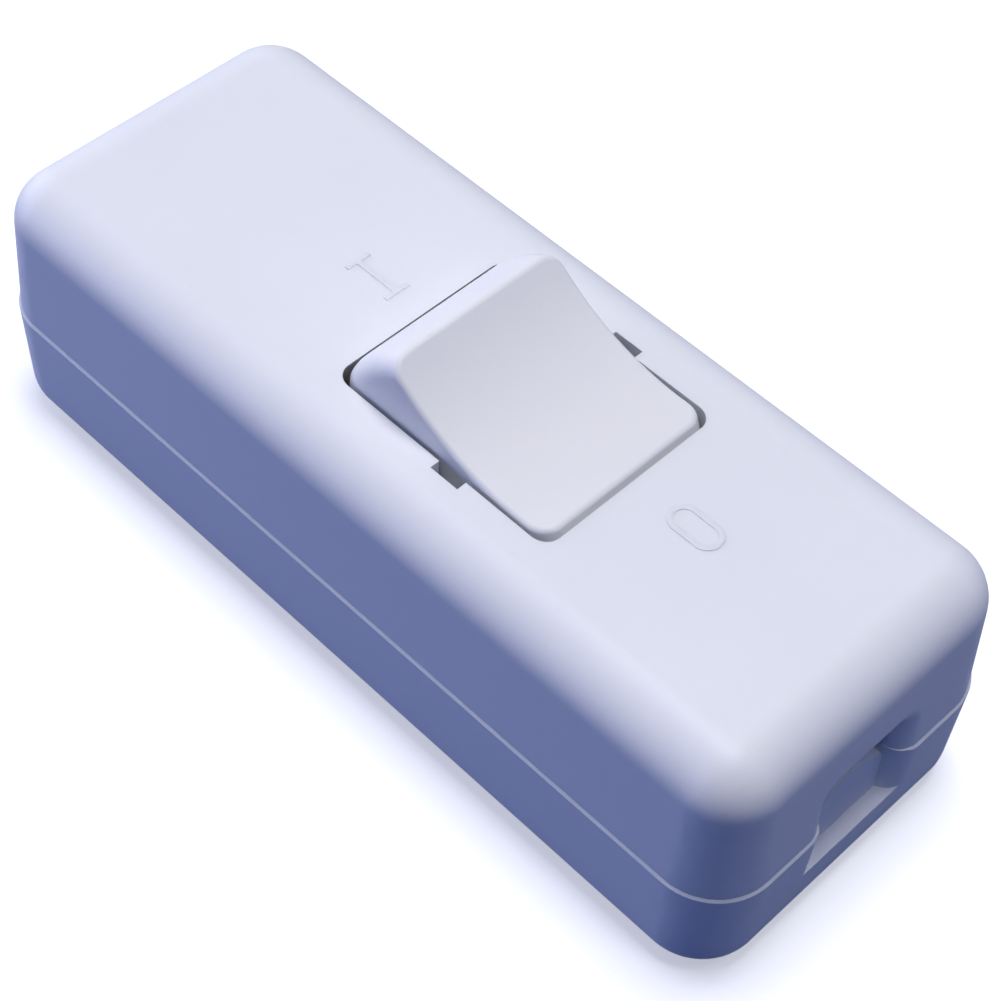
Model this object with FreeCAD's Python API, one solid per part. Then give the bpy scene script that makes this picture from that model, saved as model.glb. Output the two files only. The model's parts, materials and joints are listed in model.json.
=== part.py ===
import FreeCAD, Part
import math
import os
from FreeCAD import Vector

# Inline cord switch: a two-pole rocker switch in a two-shell case, with a cord entry at each end.
# X runs along the case, Y across it, Z up. The origin is on the base, under the case's middle.
# The rocker stands as it rests at "off": its end towards +X is pressed down.

# Case
case_width = 32.5
parting_height = 11.7
corner_radius = 5.5
top_radius = 4.45
base_radius = 3.2
upper_draft = 3.4
lower_draft = 1.7
side_wall = 2.2
top_wall = 2.5
floor_wall = 2.2
floor_round = 1.0
fillet_spare = 0.05
cut_spare = 1.0

# Joint between the shells
parting_step = 0.2
parting_chamfer = 0.25
tongue_height = 1.3
tongue_thickness = 0.9
tongue_clearance = 0.15

# Cord entries
entry_half_width = 4.1
entry_floor = 5.0
entry_top = 15.7
entry_corner = 1.0
entry_flare = 2.0
entry_depth = 3.6
entry_mouth_depth = 1.5
entry_region = 8.1
entry_collar = 1.3
entry_rib_height = 4.3
entry_rib_thickness = 0.8

# Rocker
rocker_width = 17.4
rocker_reach = 11.75
rocker_edge_angle = 46.7
rocker_skirt_angle = 5.0
rocker_dish = 1.95
rocker_tilt = 18.0
rocker_wall = 1.6
rocker_top_wall = 1.8
rocker_edge_round = 0.5
rocker_corner = 1.8
rocker_keel_half = 3.2
rocker_keel_depth = 2.6
rocker_side_gap = 0.3
rocker_end_gap = 0.35
pivot_depth = 4.6
trunnion_radius = 1.25
trunnion_length = 1.05
bearing_gap = 0.05

# Well in the upper shell that carries the rocker
well_end_wall = 1.7
well_cheek = 2.6
well_corner = 1.4
stop_lip = 1.4
stop_lip_thickness = 1.2
stop_gap = 0.1
notch_offset = 1.6
notch_side_gap = 0.1
notch_end_gap = 0.15

# Sprung plungers in the rocker
lane = 4.9
plunger_radius = 1.6
plunger_tip_radius = 1.2
plunger_tip_centre = 5.5
plunger_back = 1.4
plunger_nose = 0.9
plunger_nose_radius = 0.65
plunger_gap = 0.06
tower_wall = 1.35
tower_depth = 3.2
bore_end = 4.6
spring_radius = 1.2
spring_wire = 0.4
spring_turns = 4
spring_end_gap = 0.05

# Seesaw contact blades
fulcrum_height = 12.94
blade_ratio = 0.5
blade_thickness = 0.8
blade_width = 5.0
blade_reach = 8.2
blade_trough_angle = 45.0
blade_tip_gap = 0.06
blade_neck_half = 1.6
blade_notch_half = 0.85
contact_x = 6.9
contact_radius = 1.5
contact_head = 0.7
contact_dome = 0.25
contact_shank = 0.8
contact_clench = 0.3
contact_clench_radius = 1.2
clench_pocket_gap = 0.4
contact_gap = 0.05
fulcrum_gap = 0.08

# Terminals
strip_thickness = 0.8
strip_half_width = 1.8
fulcrum_thickness = 1.0
fulcrum_tab = 1.5
fulcrum_tab_gap = 0.15
terminal_pad = 1.0
terminal_length = 6.0
terminal_cover = 0.68
terminal_side_gap = 0.05
terminal_end_wall = 1.0
wire_hole_radius = 1.6
wire_hole_height = 3.0
supply_gap = 3.4
load_gap = 0.3
load_strip_margin = 0.2
screw_radius = 1.5
screw_hole_gap = 0.05
screw_head_radius = 2.2
screw_head_height = 1.6
screw_slot_width = 0.7
screw_slot_depth = 0.8
screw_head_gap = 0.3

# Earth connector
earth_length = 9.0
earth_inner_gap = 1.4
earth_outer_gap = 1.2
earth_half_width = 3.0
earth_height = 7.0
earth_screw_pitch = 4.6
earth_pad = 3.0
earth_cheek = 0.9
earth_cheek_half_length = 1.5
earth_cheek_height = 3.8

# Cells moulded in the lower shell
barrier_thickness = 1.4
barrier_above_fulcrum = 0.6
lane_clear = 3.2
lane_wall = 1.0
cell_end_gap = 0.8
upstand_rib = 1.5
upstand_rib_drop = 1.8
rest_post_gap = 0.1
rest_post_length = 1.6
rest_post_from_end = 1.0

# Cord clamps
clamp_length = 6.2
clamp_boss_gap = 0.3
load_wire_room = 3.66
clamp_thickness = 2.8
clamp_seat = 14.2
clamp_post_y = 7.4
clamp_post_radius = 3.0
clamp_arch_radius = 7.0
clamp_arch_rise = 1.0
clamp_ridge = 0.6
clamp_ridge_width = 0.8
clamp_screw_head_radius = 2.5
clamp_screw_head_height = 1.8
clamp_screw_length = 8.8
clamp_hole_radius = 1.7
clamp_hole_spare = 1.0
saddle_top = 8.9
saddle_rib = 1.2
saddle_pitch = 2.3

# Case screws
boss_inset = 7.0
boss_radius = 3.1
boss_gap = 0.25
case_screw_seat = 3.4
case_screw_head_radius = 2.7
case_screw_head_height = 2.0
case_screw_cover = 6.1
case_screw_cross = 1.6
case_screw_cross_half = 0.35
case_screw_cross_depth = 1.0
case_screw_recess_radius = 3.05
case_hole_radius = 1.7
case_hole_spare = 1.4

# How near an edge must be to count as lying on a face
mouth_margin = 0.01
dish_margin = 0.0001
level_margin = 0.000001

# Worked out from the sizes above: heights
tilt = math.radians(rocker_tilt)
to_fulcrum = plunger_tip_centre + plunger_tip_radius + blade_tip_gap + blade_thickness
pivot_z = fulcrum_height + to_fulcrum
case_height = pivot_z + pivot_depth
case_screw_length = case_height - case_screw_cover - case_screw_seat
strip_under = floor_wall + terminal_pad
earth_under = floor_wall + earth_pad


def blade_geometry():
    """Sizes of the seesaw contact, worked out from the path of the plunger's tip."""
    turned = tilt * blade_ratio
    x = plunger_tip_centre * math.sin(tilt)
    z = to_fulcrum - plunger_tip_centre * math.cos(tilt)
    path_x = x * math.cos(turned) - z * math.sin(turned)
    path_z = x * math.sin(turned) + z * math.cos(turned)
    rise = path_z - (to_fulcrum - plunger_tip_centre)
    path_radius = (path_x ** 2 + rise ** 2) / (2 * rise)
    trough = path_radius + plunger_tip_radius + blade_tip_gap
    depth = trough * (1 - math.cos(math.radians(blade_trough_angle)))

    dome_radius = (contact_radius ** 2 + contact_dome ** 2) / (2 * contact_dome)
    dome_centre = depth - contact_head - contact_dome + dome_radius
    closed_x = contact_x * math.cos(turned) + dome_centre * math.sin(turned)
    closed_z = dome_centre * math.cos(turned) - contact_x * math.sin(turned) - dome_radius
    return {
        "trough": trough,
        "depth": depth,
        "turned": turned,
        "dome_radius": dome_radius,
        "closed_x": closed_x,
        "strip_z": fulcrum_height + closed_z - contact_gap - contact_head - strip_thickness,
    }


# Worked out from the sizes above: the contact strips, and the case's length from what lies in it
strip_z = blade_geometry()["strip_z"]
terminal_top = strip_z + strip_thickness + terminal_cover
contact_to_block = contact_radius + load_gap
clamp_bay = boss_inset + boss_radius + clamp_boss_gap + clamp_length
supply_bay = clamp_bay + earth_outer_gap + earth_length + earth_inner_gap
supply_cell = cell_end_gap + terminal_length + supply_gap + blade_reach
load_cell = blade_geometry()["closed_x"] + contact_to_block + terminal_length + cell_end_gap
load_bay = load_wire_room + clamp_bay
case_length = supply_bay + supply_cell + load_cell + load_bay

# Worked out from the sizes above: places along the case
lane_start = supply_bay - case_length / 2
rocker_x = lane_start + supply_cell
lane_end = rocker_x + load_cell
fixed_x = rocker_x + blade_geometry()["closed_x"]
supply_terminal_x = rocker_x - blade_reach - supply_gap
load_terminal_x = fixed_x + contact_to_block
load_strip_end = fixed_x - contact_radius - load_strip_margin
earth_x = lane_start - earth_inner_gap - earth_length / 2
clamp_x = case_length / 2 - clamp_bay + clamp_length / 2

# Worked out from the sizes above: widths
opening_half_width = rocker_width / 2 + rocker_side_gap
opening_reach = rocker_reach + rocker_end_gap
side_y = lane + lane_clear


def block(x, y, z):
    """A box between two values on each axis."""
    return Part.makeBox(x[1] - x[0], y[1] - y[0], z[1] - z[0], Vector(x[0], y[0], z[0]))


def upright(radius, x, y, z):
    """A cylinder along Z between two heights."""
    return Part.makeCylinder(radius, z[1] - z[0], Vector(x, y, z[0]))


def crossbar(radius, x, z, y):
    """A cylinder along Y between two values."""
    return Part.makeCylinder(radius, y[1] - y[0], Vector(x, y[0], z), Vector(0, 1, 0))


def lengthwise(radius, y, z, x):
    """A cylinder along X between two values."""
    return Part.makeCylinder(radius, x[1] - x[0], Vector(x[0], y, z), Vector(1, 0, 0))


def other_end(shape):
    """The same shape at the case's other end."""
    return shape.mirror(Vector(0, 0, 0), Vector(1, 0, 0))


def both_ends(shape):
    """A shape and its mirror image at the other end."""
    return shape.fuse(other_end(shape))


def outline(half_x, half_y, radius, z):
    """A rounded rectangle round the Z axis, as a closed wire."""
    arcs = []
    for quarter, (side_x, side_y) in enumerate([(1, 1), (-1, 1), (-1, -1), (1, -1)]):
        centre = Vector(side_x * (half_x - radius), side_y * (half_y - radius), z)
        spots = []
        for degrees in (quarter * 90, quarter * 90 + 45, quarter * 90 + 90):
            angle = math.radians(degrees)
            spots.append(centre + Vector(math.cos(angle), math.sin(angle), 0) * radius)
        arcs.append(spots)
    edges = []
    for spots, following in zip(arcs, arcs[1:] + arcs[:1]):
        edges.append(Part.Arc(*spots).toShape())
        edges.append(Part.makeLine(spots[2], following[0]))
    return Part.Wire(edges)


def drafted(inset, z_wide, z_narrow, draft):
    """The case's outline, moved in by an inset and drafted from one height to another."""
    narrowing = abs(z_narrow - z_wide) * math.tan(math.radians(draft))
    low, high = sorted([z_wide, z_narrow])
    insets = [inset, inset + narrowing] if z_wide < z_narrow else [inset + narrowing, inset]
    centre_x = case_length / 2 - corner_radius
    centre_y = case_width / 2 - corner_radius
    radii = [corner_radius - extra for extra in insets]
    pieces = [
        frustum((centre_x + radii[0], centre_y), (centre_x + radii[1], centre_y), (low, high)),
        frustum((centre_x, centre_y + radii[0]), (centre_x, centre_y + radii[1]), (low, high)),
    ]
    for side_x, side_y in ((1, 1), (1, -1), (-1, 1), (-1, -1)):
        corner = Vector(side_x * centre_x, side_y * centre_y, low)
        pieces.append(Part.makeCone(radii[0], radii[1], high - low, corner))
    return pieces[0].fuse(pieces[1:]).removeSplitter()


def frustum(low_half, high_half, z):
    """A block round the Z axis whose half sizes change evenly from its low face to its high one."""
    low_x, low_y = low_half
    high_x, high_y = high_half
    wedge = Part.makeWedge(-low_x, z[0], -low_y, -high_y, -high_x, low_x, z[1], low_y, high_y, high_x)
    wedge.rotate(Vector(0, 0, 0), Vector(1, 0, 0), 90)
    return wedge


def ring(outer_inset, inner_inset, z):
    """A straight band that follows the case's outline between two insets and two heights."""
    rise = Vector(0, 0, z[1] - z[0])
    solids = []
    for inset in (outer_inset, inner_inset):
        wire = outline(case_length / 2 - inset, case_width / 2 - inset, corner_radius - inset, z[0])
        solids.append(Part.Face(wire).extrude(rise))
    return solids[0].cut(solids[1])


def edges_at(shape, z):
    """The edges that lie at one height."""
    return [e for e in shape.Edges if all(abs(v.Z - z) < level_margin for v in e.Vertexes)]


def entry_passage():
    """The cord's way through the end wall, as a solid with rounded corners."""
    x = (case_length / 2 - entry_depth, case_length / 2 + cut_spare)
    passage = block(x, (-entry_half_width, entry_half_width), (entry_floor, entry_top))
    long_edges = [e for e in passage.Edges if abs(e.Vertexes[0].X - e.Vertexes[1].X) > entry_depth / 2]
    return passage.makeFillet(entry_corner, long_edges)


def entry_cutter(outer_body):
    """What the flared cord entry takes out of one shell's end wall."""
    passage = entry_passage()
    x = (case_length / 2 - entry_depth, case_length / 2 + cut_spare)
    region = outer_body.common(block(x, (-entry_region, entry_region), (0, case_height)))
    walled = region.cut(passage)
    mouth = []
    for edge in walled.Edges:
        middle = edge.valueAt((edge.FirstParameter + edge.LastParameter) / 2)
        on_face = min(v.X for v in edge.Vertexes) > case_length / 2 - entry_mouth_depth
        in_width = abs(middle.y) < entry_half_width + mouth_margin
        in_height = entry_floor - mouth_margin < middle.z < entry_top + mouth_margin
        level = all(abs(v.Z - parting_height) < level_margin for v in edge.Vertexes)
        if on_face and in_width and in_height and not level:
            mouth.append(edge)
    flared = walled.makeFillet(entry_flare, mouth)
    return region.cut(flared)


def rounded_drum(radius, half_width, corner):
    """A cylinder along Y round the origin, its rims rounded."""
    drum = crossbar(radius, 0, 0, (-half_width, half_width))
    rims = [e for e in drum.Edges if len(e.Vertexes) == 1]
    return drum.makeFillet(corner, rims)


def rocker_swing_space():
    """The room that the rocker's ends sweep."""
    drum = rounded_drum(opening_reach, opening_half_width, well_corner)
    drum.translate(Vector(rocker_x, 0, pivot_z))
    return drum


def bearing_slots():
    """The slots that take the rocker's trunnions: down from the top face, then sideways to the seat."""
    radius = trunnion_radius + bearing_gap
    reach = rocker_width / 2 + trunnion_length + notch_end_gap
    y = (-reach, reach)
    notch_x = rocker_x + notch_offset
    notch_half = radius + notch_side_gap
    down_x = (notch_x - notch_half, notch_x + notch_half)
    down = block(down_x, y, (pivot_z - radius, case_height + cut_spare))
    across = block((rocker_x, notch_x), y, (pivot_z - radius, pivot_z + radius))
    seat = crossbar(radius, rocker_x, pivot_z, y)
    return seat.fuse([across, down])


def well():
    """The frame under the upper shell's top wall that carries the rocker, and the lips that stop it."""
    half_x = opening_reach + well_end_wall
    half_y = opening_half_width + well_cheek
    x = (rocker_x - half_x, rocker_x + half_x)
    lip_reach = rocker_reach * math.cos(tilt - math.radians(rocker_skirt_angle)) - stop_lip
    lip_top = pivot_z - pressed_underside(lip_reach) - stop_gap
    frame = block(x, (-half_y, half_y), (lip_top - stop_lip_thickness, case_height - top_wall))
    lips = block(x, (-half_y, half_y), (lip_top - stop_lip_thickness, lip_top))
    inside = (rocker_x - lip_reach, rocker_x + lip_reach)
    lips = lips.cut(block(inside, (-half_y, half_y), (0, case_height)))
    return frame, lips


def pressed_underside(distance):
    """How far below the pivot the pressed end's underside stands, at a distance from the pivot."""
    skirt = math.radians(rocker_skirt_angle)
    ends = []
    for x, z in (
        (rocker_reach * math.cos(skirt), rocker_reach * math.sin(skirt)),
        (rocker_keel_half, -rocker_keel_depth),
    ):
        ends.append((x * math.cos(tilt) + z * math.sin(tilt), x * math.sin(tilt) - z * math.cos(tilt)))
    (far_x, far_drop), (near_x, near_drop) = ends
    share = (far_x - distance) / (far_x - near_x)
    return max(far_drop, far_drop + share * (near_drop - far_drop))


def upper_shell():
    """The case's top: walls, rocker well, screw bosses and the upper half of both cord entries."""
    narrow_radius = corner_radius - parting_step
    narrow_radius -= (case_height - parting_height) * math.tan(math.radians(upper_draft))
    rounding = min(top_radius, narrow_radius - fillet_spare)
    blank = drafted(parting_step, parting_height, case_height, upper_draft)
    body = blank.makeFillet(rounding, edges_at(blank, case_height))
    cutter = entry_cutter(blank)

    ceiling = case_height - top_wall
    hollow = drafted(side_wall, parting_height, ceiling, upper_draft)
    hollow = hollow.makeFillet(rounding - side_wall, edges_at(hollow, ceiling))
    lap_inset = side_wall - tongue_thickness - tongue_clearance
    lap_z = (parting_height, parting_height + tongue_height + tongue_clearance)
    lap = ring(lap_inset, side_wall + cut_spare, lap_z)
    shell = body.cut([hollow, lap])

    frame, lips = well()
    collar_half = entry_half_width + entry_collar
    collar_x = (case_length / 2 - entry_depth, case_length / 2)
    collar = block(collar_x, (-collar_half, collar_half), (parting_height, entry_top + entry_collar))
    collar = collar.common(body)
    bosses = case_bosses((parting_height, case_height), boss_radius).common(body)
    shell = shell.fuse([frame, both_ends(collar), bosses])
    shell = shell.cut([rocker_swing_space(), bearing_slots()])
    shell = shell.fuse(lips)
    hole_top = case_screw_seat + case_screw_length + case_hole_spare
    holes = case_bosses((parting_height - cut_spare, hole_top), screw_radius + screw_hole_gap)
    return shell.cut([both_ends(cutter), both_ends(entry_passage()), holes]).removeSplitter()


def case_bosses(z, radius):
    """Uprights at the two case screws, which stand in opposite corners."""
    x = case_length / 2 - boss_inset
    y = case_width / 2 - boss_inset
    return upright(radius, x, -y, z).fuse(upright(radius, -x, y, z))


def lane_cells():
    """The cells that hold both poles' contacts: barrier, lane walls, pads, ribs and posts."""
    floor = floor_wall
    top = fulcrum_height + barrier_above_fulcrum
    x = (lane_start, lane_end)
    half_barrier = barrier_thickness / 2
    parts = [block(x, (-half_barrier, half_barrier), (floor, top))]
    pad_end = rocker_x + fulcrum_thickness / 2 + upstand_rib
    post_top = rest_height() - rest_post_gap
    post_x = rocker_x - blade_reach + rest_post_from_end
    for side in (-1, 1):
        inner = half_barrier
        outer = side_y + lane_wall
        walls_y = sorted([side * side_y, side * outer])
        cell_y = sorted([side * inner, side * side_y])
        middle = (side * lane - blade_width / 2, side * lane + blade_width / 2)
        parts.append(block(x, walls_y, (floor, top)))
        parts.append(block((lane_start, pad_end), cell_y, (floor, strip_under)))
        parts.append(block((load_terminal_x, lane_end), cell_y, (floor, strip_under)))
        rib_x = (rocker_x + fulcrum_thickness / 2, pad_end)
        parts.append(block(rib_x, middle, (floor, fulcrum_height - upstand_rib_drop)))
        parts.append(load_pedestal(side))
        post_span = (post_x - rest_post_length / 2, post_x + rest_post_length / 2)
        slot = strip_half_width + tongue_clearance
        near = sorted([side * inner, side * (lane - slot)])
        far = sorted([side * (lane + slot), side * side_y])
        parts.append(block(post_span, near, (floor, post_top)))
        parts.append(block(post_span, far, (floor, post_top)))
    return parts[0].fuse(parts[1:])


def load_pedestal(side):
    """The pedestal under the fixed contact's strip, with room for its rivet."""
    y = (side * lane - blade_width / 2, side * lane + blade_width / 2)
    pedestal = block((load_strip_end, load_terminal_x), y, (floor_wall, strip_z))
    pocket_z = (strip_z - 2 * contact_clench, strip_z)
    pocket_radius = contact_clench_radius + clench_pocket_gap
    return pedestal.cut(upright(pocket_radius, fixed_x, side * lane, pocket_z))


def cord_rests():
    """At one end: the clamp's posts, the ribs under the cord, and the entry's collar and rib."""
    parts = []
    for offset in (-saddle_pitch, 0, saddle_pitch):
        x = (clamp_x + offset - saddle_rib / 2, clamp_x + offset + saddle_rib / 2)
        parts.append(block(x, (-clamp_post_y, clamp_post_y), (floor_wall, saddle_top)))
    for side in (-1, 1):
        parts.append(upright(clamp_post_radius, clamp_x, side * clamp_post_y, (floor_wall, clamp_seat)))
    inner_x = case_length / 2 - entry_depth
    collar_half = entry_half_width + entry_collar
    rib_x = (inner_x - entry_rib_thickness, inner_x)
    collar_x = (inner_x, case_length / 2 - side_wall / 2)
    collar_y = (-collar_half, collar_half)
    parts.append(block(collar_x, collar_y, (floor_wall, parting_height)))
    parts.append(block(rib_x, collar_y, (floor_wall, entry_floor + entry_rib_height)))
    return parts[0].fuse(parts[1:])


def clamp_holes():
    """The clamp screws' holes in the posts at one end."""
    screw_end = clamp_seat + clamp_thickness - clamp_screw_length
    z = (screw_end - clamp_hole_spare, clamp_seat + cut_spare)
    radius = screw_radius + screw_hole_gap
    holes = [upright(radius, clamp_x, side * clamp_post_y, z) for side in (-1, 1)]
    return holes[0].fuse(holes[1])


def earth_cell():
    """The pad under the earth connector and the two cheeks that hold it."""
    x = (earth_x - earth_length / 2, earth_x + earth_length / 2)
    pad = block(x, (-earth_half_width, earth_half_width), (floor_wall, earth_under))
    cheeks = []
    cheek_x = (earth_x - earth_cheek_half_length, earth_x + earth_cheek_half_length)
    for side in (-1, 1):
        edge = earth_half_width + terminal_side_gap
        y = sorted([side * edge, side * (edge + earth_cheek)])
        cheeks.append(block(cheek_x, y, (floor_wall, earth_under + earth_cheek_height)))
    return pad.fuse(cheeks)


def lower_shell():
    """The case's base: walls, tongue, contact cells, cord rests and the lower half of both entries."""
    blank = drafted(0.0, parting_height, 0.0, lower_draft)
    body = blank.makeFillet(base_radius, edges_at(blank, 0.0))
    body = body.makeChamfer(parting_chamfer, edges_at(body, parting_height))
    cutter = entry_cutter(blank)

    hollow = drafted(side_wall, parting_height, floor_wall, lower_draft)
    hollow = hollow.makeFillet(floor_round, edges_at(hollow, floor_wall))
    shell = body.cut(hollow)

    tongue_inset = side_wall - tongue_thickness
    tongue = ring(tongue_inset, side_wall, (parting_height, parting_height + tongue_height))
    gap_half = entry_half_width + entry_collar + tongue_clearance
    tongue = tongue.cut(block((-case_length, case_length), (-gap_half, gap_half), (0, case_height)))
    tongue = tongue.cut(case_bosses((0, case_height), boss_radius + boss_gap))

    bosses = case_bosses((floor_wall / 2, parting_height), boss_radius).common(body)
    inner = lane_cells().fuse([both_ends(cord_rests()), earth_cell()]).common(body.fuse(above_parting()))
    shell = shell.fuse([tongue, inner, bosses])
    recess = case_bosses((-cut_spare, case_screw_seat), case_screw_recess_radius)
    through = case_bosses((-cut_spare, parting_height + cut_spare), case_hole_radius)
    holes = [both_ends(cutter), both_ends(entry_passage()), both_ends(clamp_holes()), recess, through]
    return shell.cut(holes).removeSplitter()


def above_parting():
    """The room inside the upper shell that the lower shell's posts and walls may rise into."""
    inset = side_wall + 2 * tongue_clearance
    wire = outline(case_length / 2 - inset, case_width / 2 - inset, corner_radius - inset, parting_height)
    return Part.Face(wire).extrude(Vector(0, 0, case_height - top_wall - parting_height))


def rocker_profile(reach, top_z, dish_radius, keel):
    """The rocker's side outline round its pivot: dished top, round ends and a keel below."""
    skirt = math.radians(rocker_skirt_angle)
    corner_z = end_height(reach, top_z + dish_radius, dish_radius)
    corner = Vector(math.sqrt(reach ** 2 - corner_z ** 2), 0, corner_z)
    low = Vector(reach * math.cos(skirt), 0, reach * math.sin(skirt))
    between = (math.atan2(corner.z, corner.x) + skirt) / 2
    side = Vector(reach * math.cos(between), 0, reach * math.sin(between))

    def mirrored(p):
        return Vector(-p.x, 0, p.z)

    edges = [
        Part.Arc(mirrored(corner), Vector(0, 0, top_z), corner).toShape(),
        Part.Arc(corner, side, low).toShape(),
    ]
    spots = [low] + keel + [mirrored(p) for p in reversed(keel)] + [mirrored(low)]
    for start, end in zip(spots, spots[1:]):
        edges.append(Part.makeLine(start, end))
    edges.append(Part.Arc(mirrored(low), mirrored(side), mirrored(corner)).toShape())
    return Part.Wire(edges)


def end_height(reach, centre_z, dish_radius):
    """Where the dished top meets the round ends: the height on both circles."""
    return (reach ** 2 + centre_z ** 2 - dish_radius ** 2) / (2 * centre_z)


def dish():
    """The height of the dished top's middle and its radius, both from the pivot."""
    edge = math.radians(rocker_edge_angle)
    half = rocker_reach * math.sin(edge)
    middle = rocker_reach * math.cos(edge) - rocker_dish
    radius = (half ** 2 + rocker_dish ** 2) / (2 * rocker_dish)
    return middle, radius


def extruded(wire, half_width):
    """A side outline made solid, as wide as twice the half width."""
    wire.translate(Vector(0, -half_width, 0))
    return Part.Face(wire).extrude(Vector(0, 2 * half_width, 0))


def rocker():
    """The rocker, level, with its pivot at the origin."""
    middle, radius = dish()
    keel = [Vector(rocker_keel_half, 0, -rocker_keel_depth)]
    half_width = rocker_width / 2
    body = extruded(rocker_profile(rocker_reach, middle, radius, keel), half_width)
    body = body.common(rounded_drum(rocker_reach, half_width, rocker_corner))
    rim = []
    for edge in body.Edges:
        spot = edge.valueAt((edge.FirstParameter + edge.LastParameter) / 2)
        if all(on_dish(p, middle, radius) for p in [spot] + [v.Point for v in edge.Vertexes]):
            rim.append(edge)
    body = body.makeFillet(rocker_edge_round, rim)

    hollow_reach = rocker_reach - rocker_wall
    inner_keel = [Vector(hollow_reach * math.cos(math.radians(rocker_skirt_angle)), 0, -rocker_reach)]
    hollow_middle = middle - rocker_top_wall
    hollow = rocker_profile(hollow_reach, hollow_middle, radius + rocker_top_wall, inner_keel)
    hollow = extruded(hollow, half_width - rocker_wall)
    shell = body.cut(hollow)

    towers = []
    bores = []
    bore_radius = plunger_radius + plunger_gap
    tower_radius = bore_radius + tower_wall
    for side in (-1, 1):
        towers.append(upright(tower_radius, 0, side * lane, (-tower_depth, middle - rocker_top_wall / 2)))
        bores.append(upright(bore_radius, 0, side * lane, (-tower_depth - cut_spare, bore_end)))
        y = sorted([side * (half_width - rocker_wall), side * (half_width + trunnion_length)])
        towers.append(crossbar(trunnion_radius, 0, 0, y))
    return shell.fuse(towers).cut(bores).removeSplitter()


def on_dish(point, middle, radius):
    """Whether a point lies on the rocker's dished top."""
    return abs(math.hypot(point.x, point.z - middle - radius) - radius) < dish_margin


def plunger(side):
    """One plunger, level, with the rocker's pivot at the origin."""
    r = plunger_radius
    tip = plunger_tip_radius
    centre = -plunger_tip_centre
    spots = [
        Vector(0, 0, plunger_back + plunger_nose),
        Vector(plunger_nose_radius, 0, plunger_back + plunger_nose),
        Vector(plunger_nose_radius, 0, plunger_back),
        Vector(r, 0, plunger_back),
        Vector(r, 0, centre + tip + (r - tip)),
        Vector(tip, 0, centre + tip),
        Vector(tip, 0, centre),
    ]
    edges = [Part.makeLine(a, b) for a, b in zip(spots, spots[1:])]
    low = Vector(0, 0, centre - tip)
    middle = Vector(tip * math.sin(math.pi / 4), 0, centre - tip * math.cos(math.pi / 4))
    edges.append(Part.Arc(spots[-1], middle, low).toShape())
    edges.append(Part.makeLine(low, spots[0]))
    solid = Part.Face(Part.Wire(edges)).revolve(Vector(0, 0, 0), Vector(0, 0, 1), 360)
    solid.translate(Vector(0, side * lane, 0))
    return solid


def plunger_spring(side):
    """One coil spring between a plunger's back and the end of its bore."""
    length = bore_end - plunger_back
    rise = length - spring_wire - 2 * spring_end_gap
    helix = Part.makeHelix(rise / spring_turns, rise, spring_radius)
    half = spring_wire / 2
    corners = [(half, 0), (0, half), (-half, 0), (0, -half), (half, 0)]
    section = Part.makePolygon([Vector(spring_radius + x, 0, z) for x, z in corners])
    coil = Part.Wire(helix.Edges).makePipeShell([section], True, True)
    coil.translate(Vector(0, side * lane, plunger_back + (length - rise) / 2))
    return coil


def rest_height():
    """How high the pressed wing's lowest corner stands when the blade rests."""
    size = blade_geometry()
    drop = blade_reach * math.sin(size["turned"]) - size["depth"] * math.cos(size["turned"])
    return fulcrum_height - drop


def contact_blade():
    """One seesaw blade, level, with the fulcrum at the origin."""
    size = blade_geometry()
    inner = size["trough"]
    outer = inner + blade_thickness
    centre_z = blade_thickness + inner
    top = blade_thickness + size["depth"]
    under = size["depth"]
    in_x = math.sqrt(inner ** 2 - (centre_z - top) ** 2)
    out_x = math.sqrt(outer ** 2 - (centre_z - under) ** 2)
    above = [Vector(-in_x, 0, top), Vector(0, 0, blade_thickness), Vector(in_x, 0, top)]
    below = [Vector(out_x, 0, under), Vector(0, 0, 0), Vector(-out_x, 0, under)]
    ends = [Vector(blade_reach, 0, top), Vector(blade_reach, 0, under)]
    far = [Vector(-blade_reach, 0, under), Vector(-blade_reach, 0, top)]
    edges = [
        Part.Arc(*above).toShape(),
        Part.makeLine(above[2], ends[0]),
        Part.makeLine(ends[0], ends[1]),
        Part.makeLine(ends[1], below[0]),
        Part.Arc(*below).toShape(),
        Part.makeLine(below[2], far[0]),
        Part.makeLine(far[0], far[1]),
        Part.makeLine(far[1], above[0]),
    ]
    blade = extruded(Part.Wire(edges), blade_width / 2)
    notches = []
    for side in (-1, 1):
        y = sorted([side * blade_neck_half, side * blade_width])
        notches.append(block((-blade_notch_half, blade_notch_half), y, (-cut_spare, top)))
    hole = upright(contact_shank, contact_x, 0, (under - cut_spare, top + cut_spare))
    return blade.cut(notches + [hole])


def moving_contact():
    """The silver rivet under the blade's wing, level, with the fulcrum at the origin."""
    size = blade_geometry()
    under = size["depth"]
    rim = under - contact_head
    radius = size["dome_radius"]
    top = under + blade_thickness + contact_clench
    low = rim - contact_dome
    half = math.asin(contact_radius / radius) / 2
    bend = Vector(radius * math.sin(half), 0, low + radius * (1 - math.cos(half)))
    spots = [
        Vector(contact_radius, 0, rim),
        Vector(contact_radius, 0, under),
        Vector(contact_shank, 0, under),
        Vector(contact_shank, 0, under + blade_thickness),
        Vector(contact_clench_radius, 0, under + blade_thickness),
        Vector(contact_clench_radius, 0, top),
        Vector(0, 0, top),
        Vector(0, 0, low),
    ]
    edges = [Part.makeLine(a, b) for a, b in zip(spots, spots[1:])]
    edges.append(Part.Arc(spots[-1], bend, spots[0]).toShape())
    rivet = Part.Face(Part.Wire(edges)).revolve(Vector(0, 0, 0), Vector(0, 0, 1), 360)
    rivet.translate(Vector(contact_x, 0, 0))
    return rivet


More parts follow.
